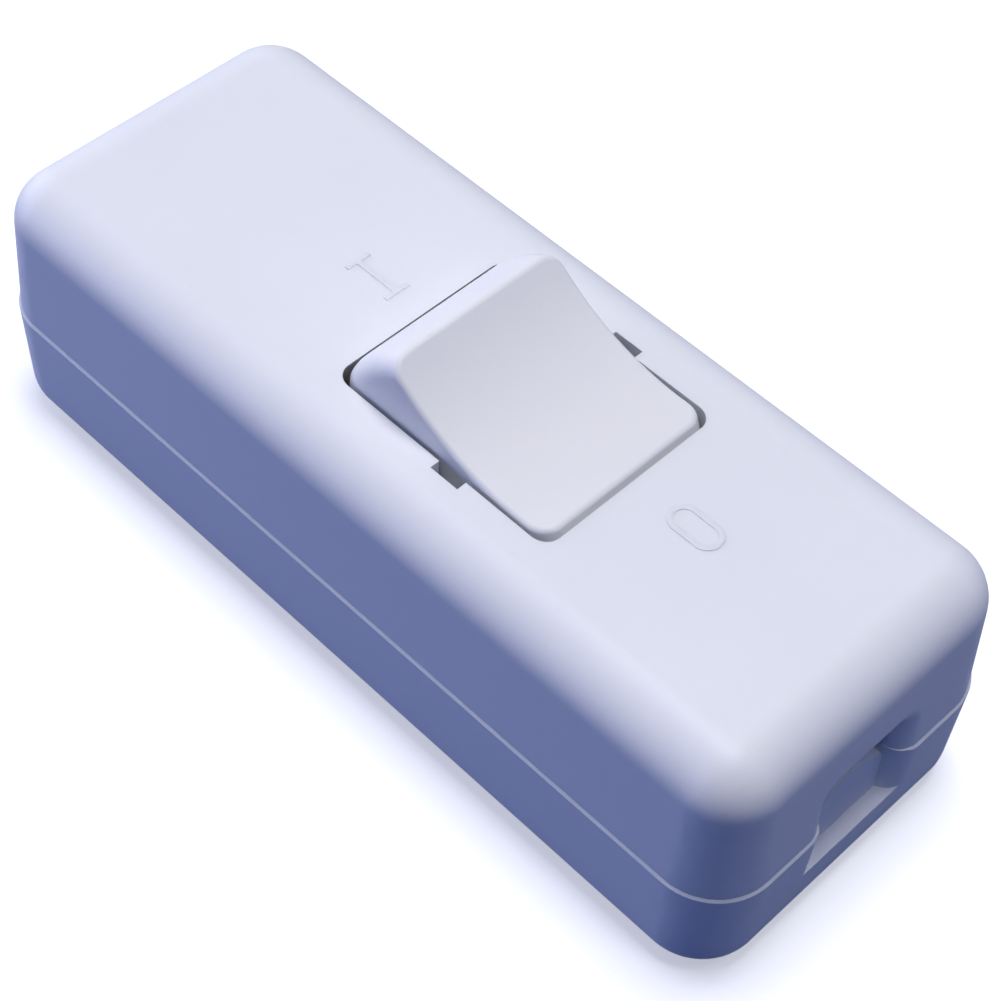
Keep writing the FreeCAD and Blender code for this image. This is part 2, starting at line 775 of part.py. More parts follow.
def fixed_contact(side):
    """The flat silver rivet on the load terminal's strip."""
    top = strip_z + strip_thickness
    y = side * lane
    head = upright(contact_radius, fixed_x, y, (top, top + contact_head))
    shank = upright(contact_shank, fixed_x, y, (strip_z, top))
    clench = upright(contact_clench_radius, fixed_x, y, (strip_z - contact_clench, strip_z))
    return head.fuse([shank, clench])


def terminal_body(x, side, mouth):
    """A screw terminal's block, with the wire's hole from one end and the screw's hole from above."""
    half = lane_clear - terminal_side_gap
    y = (side * lane - half, side * lane + half)
    body = block(x, y, (strip_under, terminal_top))
    wire_z = strip_under + wire_hole_height
    hole_x = (x[0] - cut_spare, x[1] - terminal_end_wall)
    if mouth > 0:
        hole_x = (x[0] + terminal_end_wall, x[1] + cut_spare)
    wire = lengthwise(wire_hole_radius, side * lane, wire_z, hole_x)
    middle = (x[0] + x[1]) / 2
    screw_z = (wire_z, terminal_top + cut_spare)
    screw = upright(screw_radius + screw_hole_gap, middle, side * lane, screw_z)
    return body.cut([wire, screw])


def supply_terminal(side):
    """The supply terminal: block, strip along the floor and the upstand that the blade rocks on."""
    x = (supply_terminal_x - terminal_length, supply_terminal_x)
    half = fulcrum_thickness / 2
    y = side * lane
    edge_z = fulcrum_height - fulcrum_gap
    strip_y = (y - strip_half_width, y + strip_half_width)
    strip = block((x[1], rocker_x + half), strip_y, (strip_under, strip_under + strip_thickness))
    plate_y = (y - blade_width / 2, y + blade_width / 2)
    plate = block((rocker_x - half, rocker_x + half), plate_y, (strip_under, edge_z - half))
    ridge = Part.Face(Part.makePolygon([
        Vector(rocker_x - half, 0, edge_z - half),
        Vector(rocker_x + half, 0, edge_z - half),
        Vector(rocker_x, 0, edge_z),
        Vector(rocker_x - half, 0, edge_z - half),
    ])).extrude(Vector(0, blade_width, 0))
    ridge.translate(Vector(0, plate_y[0], 0))
    tabs = []
    for hand in (-1, 1):
        inner = y + hand * (blade_neck_half + fulcrum_tab_gap)
        outer = y + hand * blade_width / 2
        tab_z = (edge_z - half, fulcrum_height + fulcrum_tab)
        tabs.append(block((rocker_x - half, rocker_x + half), sorted([inner, outer]), tab_z))
    return terminal_body(x, side, -1).fuse([strip, plate, ridge] + tabs).removeSplitter()


def load_terminal(side):
    """The load terminal: block and the strip that carries the fixed contact."""
    x = (load_terminal_x, load_terminal_x + terminal_length)
    y = (side * lane - blade_width / 2, side * lane + blade_width / 2)
    strip = block((load_strip_end, x[0]), y, (strip_z, strip_z + strip_thickness))
    hole_z = (strip_z - cut_spare, strip_z + strip_thickness + cut_spare)
    hole = upright(contact_shank, fixed_x, side * lane, hole_z)
    return terminal_body(x, side, 1).fuse(strip.cut(hole)).removeSplitter()


def slotted_screw(x, y, head_under, radius, length, head_radius, head_height, slot_width):
    """A cheese-head screw that points down, with a slot across its head."""
    shank = upright(radius, x, y, (head_under - length, head_under))
    head = upright(head_radius, x, y, (head_under, head_under + head_height))
    top = head_under + head_height
    slot_x = (x - slot_width / 2, x + slot_width / 2)
    slot = block(slot_x, (y - head_radius, y + head_radius), (top - screw_slot_depth, top))
    return shank.fuse(head).cut(slot)


def terminal_screw(x, y, low, top):
    """The clamp screw of a block between two heights, its end just clear of the wire's hole."""
    head_under = top + screw_head_gap
    wire_top = low + wire_hole_height + wire_hole_radius
    length = head_under - wire_top - screw_head_gap
    sizes = (screw_radius, length, screw_head_radius, screw_head_height, screw_slot_width)
    return slotted_screw(x, y, head_under, *sizes)


def earth_connector():
    """The brass bar that joins the earth cores, with one hole right through and two screws' holes."""
    x = (earth_x - earth_length / 2, earth_x + earth_length / 2)
    top = earth_under + earth_height
    bar = block(x, (-earth_half_width, earth_half_width), (earth_under, top))
    wire_z = earth_under + wire_hole_height
    cuts = [lengthwise(wire_hole_radius, 0, wire_z, (x[0] - cut_spare, x[1] + cut_spare))]
    for side in (-1, 1):
        spot = earth_x + side * earth_screw_pitch / 2
        cuts.append(upright(screw_radius + screw_hole_gap, spot, 0, (wire_z, top + cut_spare)))
    return bar.cut(cuts)


def cord_clamp():
    """The clamp's strap at the +X end: round ends, an arch over the cord and a ridge that grips it."""
    half = clamp_length / 2
    x = (clamp_x - half, clamp_x + half)
    z = (clamp_seat, clamp_seat + clamp_thickness)
    bar = block(x, (-clamp_post_y, clamp_post_y), z)
    ends = [upright(half, clamp_x, side * clamp_post_y, z) for side in (-1, 1)]
    strap = bar.fuse(ends)
    arch_z = clamp_seat + clamp_arch_rise - clamp_arch_radius
    along = (x[0] - cut_spare, x[1] + cut_spare)
    arch = lengthwise(clamp_arch_radius, 0, arch_z, along)
    ridge_x = (clamp_x - clamp_ridge_width / 2, clamp_x + clamp_ridge_width / 2)
    ridge = block(ridge_x, (-entry_half_width, entry_half_width), z)
    ridge = ridge.cut(lengthwise(clamp_arch_radius, 0, arch_z - clamp_ridge, along))
    strap = strap.cut(arch).fuse(ridge)
    holes = [upright(clamp_hole_radius, clamp_x, side * clamp_post_y, (0, case_height)) for side in (-1, 1)]
    return strap.cut(holes).removeSplitter()


def clamp_screw(x, y):
    """One of a clamp's two screws."""
    head_under = clamp_seat + clamp_thickness
    sizes = (screw_radius, clamp_screw_length, clamp_screw_head_radius, clamp_screw_head_height)
    return slotted_screw(x, y, head_under, *sizes, screw_slot_width)


def case_screw(x, y):
    """A case screw, pointing up from its recess in the base."""
    low = case_screw_seat - case_screw_head_height
    head = upright(case_screw_head_radius, x, y, (low, case_screw_seat))
    shank = upright(screw_radius, x, y, (case_screw_seat, case_screw_seat + case_screw_length))
    reach = case_screw_cross
    half = case_screw_cross_half
    z = (low, low + case_screw_cross_depth)
    along = block((x - reach, x + reach), (y - half, y + half), z)
    across = block((x - half, x + half), (y - reach, y + reach), z)
    return head.fuse(shank).cut([along, across])


def set_rocking(shape):
    """Turns a piece of the rocker from level to rest and puts it on the pivot."""
    shape.rotate(Vector(0, 0, 0), Vector(0, 1, 0), rocker_tilt)
    shape.translate(Vector(rocker_x, 0, pivot_z))
    return shape


def set_blade(shape, side):
    """Turns a piece of a blade from level to rest and puts it on its fulcrum."""
    shape.rotate(Vector(0, 0, 0), Vector(0, 1, 0), -rocker_tilt * blade_ratio)
    shape.translate(Vector(rocker_x, side * lane, fulcrum_height))
    return shape


def all_pieces():
    """Every piece of the switch, by name."""
    pieces = {
        "upper_shell": upper_shell(),
        "lower_shell": lower_shell(),
        "rocker": set_rocking(rocker()),
        "earth_connector": earth_connector(),
        "cord_clamp_load": cord_clamp(),
        "cord_clamp_supply": other_end(cord_clamp()),
    }
    for pole, side in (("live", -1), ("neutral", 1)):
        y = side * lane
        pieces[f"plunger_{pole}"] = set_rocking(plunger(side))
        pieces[f"plunger_spring_{pole}"] = set_rocking(plunger_spring(side))
        pieces[f"contact_blade_{pole}"] = set_blade(contact_blade(), side)
        pieces[f"moving_contact_{pole}"] = set_blade(moving_contact(), side)
        pieces[f"fixed_contact_{pole}"] = fixed_contact(side)
        pieces[f"supply_terminal_{pole}"] = supply_terminal(side)
        pieces[f"load_terminal_{pole}"] = load_terminal(side)
        supply_x = supply_terminal_x - terminal_length / 2
        load_x = load_terminal_x + terminal_length / 2
        pieces[f"supply_screw_{pole}"] = terminal_screw(supply_x, y, strip_under, terminal_top)
        pieces[f"load_screw_{pole}"] = terminal_screw(load_x, y, strip_under, terminal_top)
    for number, side in ((1, -1), (2, 1)):
        spot = earth_x + side * earth_screw_pitch / 2
        pieces[f"earth_screw_{number}"] = terminal_screw(spot, 0, earth_under, earth_under + earth_height)
        pieces[f"clamp_screw_load_{number}"] = clamp_screw(clamp_x, side * clamp_post_y)
        pieces[f"clamp_screw_supply_{number}"] = clamp_screw(-clamp_x, side * clamp_post_y)
        corner_x = -side * (case_length / 2 - boss_inset)
        corner_y = side * (case_width / 2 - boss_inset)
        pieces[f"case_screw_{number}"] = case_screw(corner_x, corner_y)
    return pieces


os.makedirs("parts", exist_ok=True)
for name, shape in all_pieces().items():
    shape.exportStep(f"parts/{name}.step")
    print(name, shape.isValid(), len(shape.Solids), round(shape.Volume, 2))
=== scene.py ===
import bpy
import bmesh
import json
import math
from mathutils import Matrix, Vector


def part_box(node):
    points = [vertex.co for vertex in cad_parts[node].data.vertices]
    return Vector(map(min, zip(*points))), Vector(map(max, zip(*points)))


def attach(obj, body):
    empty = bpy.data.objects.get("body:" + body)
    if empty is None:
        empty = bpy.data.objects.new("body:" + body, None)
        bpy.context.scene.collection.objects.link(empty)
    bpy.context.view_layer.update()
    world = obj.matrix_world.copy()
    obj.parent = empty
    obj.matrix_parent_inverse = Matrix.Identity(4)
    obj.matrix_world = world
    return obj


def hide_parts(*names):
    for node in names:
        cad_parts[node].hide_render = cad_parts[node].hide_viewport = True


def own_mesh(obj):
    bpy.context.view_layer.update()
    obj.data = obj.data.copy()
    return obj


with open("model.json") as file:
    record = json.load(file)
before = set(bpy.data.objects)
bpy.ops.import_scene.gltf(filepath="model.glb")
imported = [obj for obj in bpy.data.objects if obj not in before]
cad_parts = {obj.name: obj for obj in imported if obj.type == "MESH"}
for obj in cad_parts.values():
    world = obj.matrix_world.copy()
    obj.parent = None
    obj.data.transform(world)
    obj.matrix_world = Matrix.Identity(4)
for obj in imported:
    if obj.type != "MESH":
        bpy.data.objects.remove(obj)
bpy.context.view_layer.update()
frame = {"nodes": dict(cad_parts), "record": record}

# A millimetre in metres, and in millimetres how near two points count as the same, in a new shape and in
# a carried-over one
MM = 0.001
HAIR = 0.001
WELD = 0.002

# The camera: its azimuth, elevation and roll in degrees, its aim and distance in millimetres, and its
# lens in the picture's own pixels
CAMERA_ANGLES = (41.929, 51.801, 4.123)
CAMERA_AIM = (-2.22, 6.38, 0)
CAMERA_DISTANCE = 197.9
FOCAL_PIXELS = 2291.142
PICTURE_PIXELS = 1001
SENSOR_WIDTH = 36
CLIP_START = 0.01

# The lamps: name, spot, aim, size in metres, power in watts and colour
LAMPS = (
    ("overhead", (-0.01, 0.05, 0.60), (0, 0, 0.01), 0.24, 2.45, (1.0, 0.985, 0.985)),
    ("right_high", (0.225, 0.03, 0.52), (0.02, 0, 0.012), 0.10, 0.28, (1.0, 0.98, 0.98)),
    ("left", (-0.45, -0.36, 0.06), (0, 0, 0.012), 0.20, 1.15, (0.43, 0.52, 1.0)),
    ("far_left", (-0.55, -0.05, 0.12), (0, 0, 0.012), 0.42, 1.35, (0.95, 0.95, 1.0)),
    ("right", (0.36, 0.44, 0.05), (0, 0, 0.012), 0.16, 0.14, (0.22, 0.42, 1.0)),
)

# The room, and how much of its white surroundings a glossy surface mirrors
ROOM_COLOUR = (0.09, 0.22, 0.80, 1)
ROOM_STRENGTH = 0.20
GLOSS_SHARE = 0.35

# The floor, in metres. It pales towards the white behind it from one distance to another.
FLOOR_RADIUS = 3.0
FLOOR_SIDES = 96
FLOOR_NEAR = 0.09
FLOOR_FAR = 0.6
FLOOR_GLOW = 0.45
FLOOR_BARE = (0.03, 0.06, 0.22, 1)
FLOOR_PALE = (0.85, 0.86, 0.90, 1)

# Moulded plastic: its clouds, its grain and the sinks of its walls, as noise
CLOUD_SCALE = 60
CLOUD_GLOSS = 0.12
GRAIN_GLOSS = 0.08
SINK_SCALE = 25
SINK_HEIGHT = 0.00005
SKIN_RADIUS = (1.0, 0.9, 0.8)
SKIN_SCALE = 0.0012

# Metal: its stains and its drawn lines, as noise
STAIN_SCALE = 220
STAIN_GLOSS = 0.2
LINE_SCALE = 900
LINE_GLOSS = 0.15
LINE_HEIGHT = 0.000004
FINE_ROUGHNESS = 0.6

# Creases and softened edges: angles in degrees, and the share of a face's size in its normals
CREASE_ANGLE = 32
FLAT_WEIGHT = 80
SOFT_STEPS = 2
FLAT_ANGLE = 2
SHARP_ANGLE = 50

# Threads and springs, in millimetres. A ridge is drawn from its foot, across its crest and back.
THREAD_CORE = 1.2
THREAD_SUNK = 0.1
THREAD_CREST = 1.49
THREAD_PITCH = 0.7
RIDGE_WIDTH = 0.9
RIDGE_CREST_LOW = 0.45
RIDGE_CREST_HIGH = 0.55
STEPS_PER_TURN = 20
CORE_SIDES = 28
HEAD_HEIGHTS = {
    "supply_screw": 1.6,
    "load_screw": 1.6,
    "earth_screw": 1.6,
    "clamp_screw": 1.8,
    "case_screw": 2.0,
}
HEAD_SOFTENING = 0.12
COIL_STEPS = 24
COIL_RADIUS = 1.2
WIRE_SIDES = 10
WIRE_RADIUS = 0.2
COIL_LOW = 1.45
COIL_HIGH = 4.55
ACTIVE_TURNS = 3.0
CLOSED_TURNS = 0.75
PIVOT = (5.1013, 20.5)
ROCKER_TILT = 18.0
LANES = {"live": -4.9, "neutral": 4.9}

# The marks on the upper shell, in millimetres, and from what angle in radians an edge of theirs is sharp
MARK_LENGTH = 4.9
MARK_STROKE = 0.55
MARK_FOOT = 0.45
MARK_WIDTH = 2.4
MARK_RING_WIDTH = 2.8
MARK_BODY = 0.5
MARK_HEIGHT = 0.09
MARK_SOFTENING = 0.06
MARK_ON_X = -11.4
MARK_OFF_X = 22.3
MARK_Y = 0.3
MARK_SHARP = 0.5
FACES_SIDEWAYS = 0.9
RING_SIDES = 72

# The webs across the cord entries, in millimetres from the case's middle
WEB_FRONT = 39.949
WEB_THICKNESS = 0.8
WEB_RADIUS = 5.2
WEB_SIDES = 120
WEB_CENTRE = 7.55
WEB_SOFTENING = 0.3
PARTING_HEIGHT = 11.7
CASE_END = 41.4987
SIDE_DRAFT = 1.7
SILL_TOP = 6.2
SILL_FOOT = 2.9
SILL_HALF_WIDTH = 6.15
SILL_SHY = 0.02
SILL_SOFTENING = 0.12


# Camera and lamps

def set_camera():
    """A long lens above the load end's corner, turned a little, as the photograph is framed."""
    azimuth, elevation, roll = (math.radians(angle) for angle in CAMERA_ANGLES)
    back = Vector((
        math.sin(azimuth) * math.cos(elevation),
        -math.cos(azimuth) * math.cos(elevation),
        math.sin(elevation),
    ))
    right = Vector((0, 0, 1)).cross(back).normalized()
    up = back.cross(right)
    turned_right = right * math.cos(roll) + up * math.sin(roll)
    turned_up = up * math.cos(roll) - right * math.sin(roll)
    spot = Vector(CAMERA_AIM) * MM + back * CAMERA_DISTANCE * MM
    data = bpy.data.cameras.new("camera")
    data.sensor_width = SENSOR_WIDTH
    data.lens = FOCAL_PIXELS / PICTURE_PIXELS * SENSOR_WIDTH
    data.clip_start = CLIP_START
    camera = bpy.data.objects.new("camera", data)
    camera.matrix_world = Matrix((
        (turned_right.x, turned_up.x, back.x, spot.x),
        (turned_right.y, turned_up.y, back.y, spot.y),
        (turned_right.z, turned_up.z, back.z, spot.z),
        (0, 0, 0, 1),
    ))
    bpy.context.scene.collection.objects.link(camera)
    bpy.context.scene.camera = camera


def soft_lamp(name, spot, target, size, power, colour):
    """A square soft lamp at a spot, facing a target, in metres and watts."""
    data = bpy.data.lights.new(name, "AREA")
    data.shape = "SQUARE"
    data.size = size
    data.energy = power
    data.color = colour
    lamp = bpy.data.objects.new(name, data)
    lamp.location = spot
    lamp.rotation_euler = (Vector(target) - Vector(spot)).to_track_quat("-Z", "Y").to_euler()
    bpy.context.scene.collection.objects.link(lamp)


# Finishes

class Flow:
    """A shader socket that takes part in sums, each sum adding its own Math node."""

    def __init__(self, tree, socket):
        self.tree = tree
        self.socket = socket

    def sum_with(self, other, operation, swap=False):
        maths = self.tree.nodes.new("ShaderNodeMath")
        maths.operation = operation
        first, second = (1, 0) if swap else (0, 1)
        self.tree.links.new(self.socket, maths.inputs[first])
        if isinstance(other, Flow):
            self.tree.links.new(other.socket, maths.inputs[second])
        else:
            maths.inputs[second].default_value = other
        return Flow(self.tree, maths.outputs[0])

    def __add__(self, other):
        return self.sum_with(other, "ADD")

    def __radd__(self, other):
        return self.sum_with(other, "ADD", True)

    def __sub__(self, other):
        return self.sum_with(other, "SUBTRACT")

    def __rsub__(self, other):
        return self.sum_with(other, "SUBTRACT", True)

    def __mul__(self, other):
        return self.sum_with(other, "MULTIPLY")

    def __rmul__(self, other):
        return self.sum_with(other, "MULTIPLY", True)

    def __truediv__(self, other):
        return self.sum_with(other, "DIVIDE")

    def greater(self, other):
        return self.sum_with(other, "MAXIMUM")


class Finish:
    """A material under construction: one node tree with its surface shader."""

    def __init__(self, name):
        self.material = bpy.data.materials.new(name)
        self.material.use_nodes = True
        self.tree = self.material.node_tree
        self.tree.nodes.clear()

    def node(self, kind, settings=None, inputs=None, out=0):
        """Adds a node: its settings first, then its sockets' values or links."""
        made = self.tree.nodes.new(kind)
        for name, value in (settings or {}).items():
            if name == "stops":
                stops = made.color_ramp.elements
                stops[0].position, stops[0].color = value[0]
                stops[1].position, stops[1].color = value[-1]
                for place, colour in value[1:-1]:
                    stops.new(place).color = colour
            else:
                setattr(made, name, value)
        for name, value in (inputs or {}).items():
            if isinstance(value, Flow):
                self.tree.links.new(value.socket, made.inputs[name])
            else:
                made.inputs[name].default_value = value
        return Flow(self.tree, made.outputs[out]) if len(made.outputs) else None

    def place(self):
        return self.node("ShaderNodeTexCoord", out="Object")

    def noise(self, where, scale, detail=2.0, roughness=0.5):
        sizes = {"Vector": where, "Scale": scale, "Detail": detail, "Roughness": roughness}
        return self.node("ShaderNodeTexNoise", inputs=sizes, out="Fac")

    def stretched(self, where, scale):
        return self.node("ShaderNodeMapping", inputs={"Vector": where, "Scale": scale})

    def blended(self, share, low, high):
        """A colour between two colours."""
        ramp = {"stops": [(0.0, (*low, 1)), (1.0, (*high, 1))]}
        return self.node("ShaderNodeValToRGB", ramp, {"Fac": share}, "Color")

    def bumped(self, height, distance, under=None):
        """A bump of some height in metres, on top of another where one is given."""
        sizes = {"Height": height, "Distance": distance, "Strength": 1.0}
        if under:
            sizes["Normal"] = under
        return self.node("ShaderNodeBump", inputs=sizes)

    def surface(self, **sockets):
        """Ends the material with its surface shader."""
        names = {key.replace("_", " "): value for key, value in sockets.items()}
        shader = self.node("ShaderNodeBsdfPrincipled", inputs=names)
        self.node("ShaderNodeOutputMaterial", inputs={"Surface": shader})
        return self.material


def moulded_plastic(name, low, high, roughness, grain, grain_height, gloss_level=0.5, depth=0.0):
    """Injection-moulded plastic: fine spark grain, a faint sink unevenness and cloudy gloss."""
    finish = Finish(name)
    where = finish.place()
    cloud = finish.noise(where, CLOUD_SCALE, detail=3)
    fine = finish.noise(where, grain, detail=3, roughness=FINE_ROUGHNESS)
    sink = finish.noise(where, SINK_SCALE, detail=1)
    colour = finish.blended(cloud, low, high)
    gloss = roughness + (cloud - 0.5) * CLOUD_GLOSS + (fine - 0.5) * GRAIN_GLOSS
    slow = finish.bumped(sink, SINK_HEIGHT)
    normal = finish.bumped(fine, grain_height, slow)
    return finish.surface(
        Base_Color=colour, Roughness=gloss, Normal=normal, Specular_IOR_Level=gloss_level, IOR=1.5,
        Subsurface_Weight=depth, Subsurface_Radius=SKIN_RADIUS, Subsurface_Scale=SKIN_SCALE,
    )


def metal(name, low, high, roughness, drawn):
    """A metal with a little staining and fine lines, drawn out along the axes with a small scale."""
    finish = Finish(name)
    where = finish.place()
    stain = finish.noise(where, STAIN_SCALE, detail=4)
    lines = finish.noise(finish.stretched(where, drawn), LINE_SCALE, detail=3, roughness=FINE_ROUGHNESS)
    colour = finish.blended(stain, low, high)
    gloss = roughness + (stain - 0.5) * STAIN_GLOSS + (lines - 0.5) * LINE_GLOSS
    normal = finish.bumped(lines, LINE_HEIGHT)
    return finish.surface(Base_Color=colour, Metallic=1.0, Roughness=gloss, Normal=normal)


def make_materials():
    """One finish for each of the record's material slots."""
    return {
        "case_plastic": moulded_plastic(
            "case_white", low=(0.80, 0.81, 0.83), high=(0.85, 0.855, 0.87),
            roughness=0.42, grain=5200, grain_height=0.000006, gloss_level=0.28, depth=0.25,
        ),
        "rocker_plastic": moulded_plastic(
            "rocker_white", low=(0.82, 0.815, 0.812), high=(0.86, 0.855, 0.852),
            roughness=0.42, grain=4200, grain_height=0.0000015, gloss_level=0.26, depth=0.25,
        ),
        "clamp_plastic": moulded_plastic(
            "clamp_nylon", low=(0.60, 0.60, 0.57), high=(0.70, 0.70, 0.66),
            roughness=0.5, grain=3200, grain_height=0.00001,
        ),
        "plunger_plastic": moulded_plastic(
            "plunger_black", low=(0.018, 0.018, 0.020), high=(0.035, 0.034, 0.036),
            roughness=0.34, grain=3600, grain_height=0.000004,
        ),
        "brass": metal(
            "machined_brass", low=(0.60, 0.42, 0.16), high=(0.78, 0.58, 0.27),
            roughness=0.32, drawn=(0.15, 1, 1),
        ),
        "copper_alloy": metal(
            "rolled_bronze", low=(0.62, 0.33, 0.18), high=(0.80, 0.48, 0.29),
            roughness=0.28, drawn=(0.08, 1, 1),
        ),
        "silver_contact": metal(
            "contact_silver", low=(0.72, 0.71, 0.68), high=(0.88, 0.87, 0.85),
            roughness=0.3, drawn=(1, 1, 1),
        ),
        "spring_steel": metal(
            "spring_wire", low=(0.42, 0.42, 0.43), high=(0.6, 0.6, 0.61),
            roughness=0.25, drawn=(1, 1, 0.3),
        ),
        "plated_steel": metal(
            "zinc_plate", low=(0.58, 0.60, 0.62), high=(0.76, 0.78, 0.80),
            roughness=0.3, drawn=(1, 1, 1),
        ),
    }


# Carried-over pieces, and what every new piece needs

def slot_of_nodes():
    """Which material slot each of the model's nodes takes its finish from."""
    return {row["node"]: row["material_slot"] for row in frame["record"]["subparts"]}


def crease(piece):
    """Keeps the corners between faces crisp and the flats flat."""
    split = piece.modifiers.new("creases", "EDGE_SPLIT")
    split.split_angle = math.radians(CREASE_ANGLE)
    even = piece.modifiers.new("flats", "WEIGHTED_NORMAL")
    even.weight = FLAT_WEIGHT


def new_piece(name, shape, finish, body):
    """Puts a finished shape into the scene on its body, smooth except at its creases."""
    mesh = bpy.data.meshes.new(name)
    shape.to_mesh(mesh)
    shape.free()
    mesh.materials.append(finish)
    mesh.polygons.foreach_set("use_smooth", [True] * len(mesh.polygons))
    piece = bpy.data.objects.new(name, mesh)
    bpy.context.scene.collection.objects.link(piece)
    crease(piece)
    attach(piece, body)
    return piece


def whole(shape):
    """All that a shape consists of."""
    return shape.verts[:] + shape.edges[:] + shape.faces[:]


def corners_in(parts):
    """The vertices among what an operator made."""
    return [part for part in parts if isinstance(part, bmesh.types.BMVert)]


def close_holes(shape):
    """Fills each open rim with a face."""
    bmesh.ops.holes_fill(shape, edges=[e for e in shape.edges if e.is_boundary])


def soften(shape, edges, width):
    """Rounds a shape's edges a little."""
    bmesh.ops.bevel(
        shape, geom=edges, offset=width * MM, affect="EDGES", segments=SOFT_STEPS, profile=0.5,
        material=-1, clamp_overlap=True,
    )


# Marks moulded on the upper shell

def bar_mark():
    """The bar with a short foot at each end, which stands for on, flat on the XY plane."""
    shape = bmesh.new()
    stem = bmesh.ops.create_cube(shape, size=1.0)["verts"]
    bmesh.ops.scale(shape, vec=(MARK_LENGTH * MM, MARK_STROKE * MM, MARK_BODY * MM), verts=stem)
    cut = MARK_LENGTH / 2 - MARK_FOOT
    for x in (-cut, cut):
        bmesh.ops.bisect_plane(shape, geom=whole(shape), plane_co=(x * MM, 0, 0), plane_no=(1, 0, 0))
    shape.normal_update()
    flanks = [f for f in shape.faces if abs(f.normal.y) > FACES_SIDEWAYS]
    flanks = [f for f in flanks if abs(f.calc_center_median().x) > cut * MM]
    for face in bmesh.ops.extrude_discrete_faces(shape, faces=flanks)["faces"]:
        reach = math.copysign((MARK_WIDTH - MARK_STROKE) / 2 * MM, face.calc_center_median().y)
        bmesh.ops.translate(shape, vec=(0, reach, 0), verts=face.verts)
    return shape


def ring_mark():
    """The long ring, which stands for off, flat on the XY plane."""
    shape = bmesh.new()
    rims = []
    stretch = (MARK_LENGTH - MARK_RING_WIDTH) / 2 * MM
    for radius in (MARK_RING_WIDTH / 2, MARK_RING_WIDTH / 2 - MARK_STROKE):
        made = bmesh.ops.create_circle(shape, segments=RING_SIDES, radius=radius * MM)["verts"]
        for way in (-1, 1):
            half = [v for v in made if v.co.x * way > MARK_SOFTENING * MM]
            bmesh.ops.translate(shape, vec=(way * stretch, 0, 0), verts=half)
        rims += [e for e in shape.edges if e.verts[0] in made]
    band = bmesh.ops.bridge_loops(shape, edges=rims)["faces"]
    bmesh.ops.recalc_face_normals(shape, faces=band)
    raised = bmesh.ops.extrude_face_region(shape, geom=band)["geom"]
    bmesh.ops.translate(shape, vec=(0, 0, MARK_BODY * MM), verts=corners_in(raised))
    bmesh.ops.translate(shape, vec=(0, 0, -MARK_BODY / 2 * MM), verts=shape.verts)
    bmesh.ops.recalc_face_normals(shape, faces=shape.faces)
    return shape


def place_marks(finish):
    """Sets both marks into the upper shell's top face, a hair proud of it."""
    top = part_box("upper_shell")[1][2]
    marks = (("mark_on", bar_mark(), MARK_ON_X), ("mark_off", ring_mark(), MARK_OFF_X))
    for name, shape, x in marks:
        lift = top + (MARK_HEIGHT - MARK_BODY / 2) * MM
        bmesh.ops.translate(shape, vec=(x * MM, MARK_Y * MM, lift), verts=shape.verts)
        shape.normal_update()
        upper = [e for e in shape.edges if all(v.co.z > top for v in e.verts)]
        soften(shape, [e for e in upper if e.calc_face_angle(0.0) > MARK_SHARP], MARK_SOFTENING)
        new_piece(name, shape, finish, "housing")


# The webs across the cord entries, each cut out when its cord is fitted

def arched_plate(shape):
    """The thin upright web, a disc whose lower part is sunk in the sill and the entry's walls."""
    upright = Matrix.Translation((WEB_FRONT * MM, 0, WEB_CENTRE * MM))
    upright = upright @ Matrix.Rotation(math.pi / 2, 4, "Y")
    bmesh.ops.create_circle(
        shape, cap_ends=True, segments=WEB_SIDES, radius=WEB_RADIUS * MM, matrix=upright,
    )
    foot = (SILL_TOP - 2 * SILL_SOFTENING) * MM
    bmesh.ops.bisect_plane(
        shape, geom=whole(shape), plane_co=(0, 0, foot), plane_no=(0, 0, -1), clear_outer=True,
    )
    behind = bmesh.ops.extrude_face_region(shape, geom=shape.faces[:])["geom"]
    bmesh.ops.translate(shape, vec=(-WEB_THICKNESS * MM, 0, 0), verts=corners_in(behind))
    bmesh.ops.recalc_face_normals(shape, faces=shape.faces)
    shape.normal_update()
    front = [e for e in shape.edges if all(v.co.x > (WEB_FRONT - HAIR) * MM for v in e.verts)]
    arch = [e for e in front if max(v.co.z for v in e.verts) > foot + HAIR * MM]
    soften(shape, arch, WEB_SOFTENING)


def sill_block(shape):
    """The sill under the web, whose front follows the drafted end of the case."""
    made = bmesh.ops.create_cube(shape, size=1.0)["verts"]
    low = Vector((WEB_FRONT - WEB_THICKNESS, -SILL_HALF_WIDTH, SILL_FOOT)) * MM
    high = Vector((CASE_END - SILL_SHY, SILL_HALF_WIDTH, SILL_TOP)) * MM
    bmesh.ops.scale(shape, vec=high - low, verts=made)
    bmesh.ops.translate(shape, vec=(low + high) / 2, verts=made)
    front = [v for v in made if v.co.x > WEB_FRONT * MM]
    for height in (SILL_FOOT, SILL_TOP):
        edge = [v for v in front if abs(v.co.z - height * MM) < HAIR * MM]
        drawn_in = (PARTING_HEIGHT - height) * math.tan(math.radians(SIDE_DRAFT)) * MM
        bmesh.ops.translate(shape, vec=(-drawn_in, 0, 0), verts=edge)
    lip = [v for v in front if v.co.z > (SILL_TOP - HAIR) * MM]
    soften(shape, [e for e in lip[0].link_edges if e.other_vert(lip[0]) in lip], SILL_SOFTENING)


def fit_webs(finish):
    """Closes both cord entries with their webs, as they leave the mould."""
    for name, turn in (("entry_web_load", 0), ("entry_web_supply", math.pi)):
        shape = bmesh.new()
        arched_plate(shape)
        sill_block(shape)
        turned = Matrix.Rotation(turn, 3, "Z")
        bmesh.ops.rotate(shape, cent=(0, 0, 0), matrix=turned, verts=shape.verts)
        new_piece(name, shape, finish, "housing")


# Screws and springs

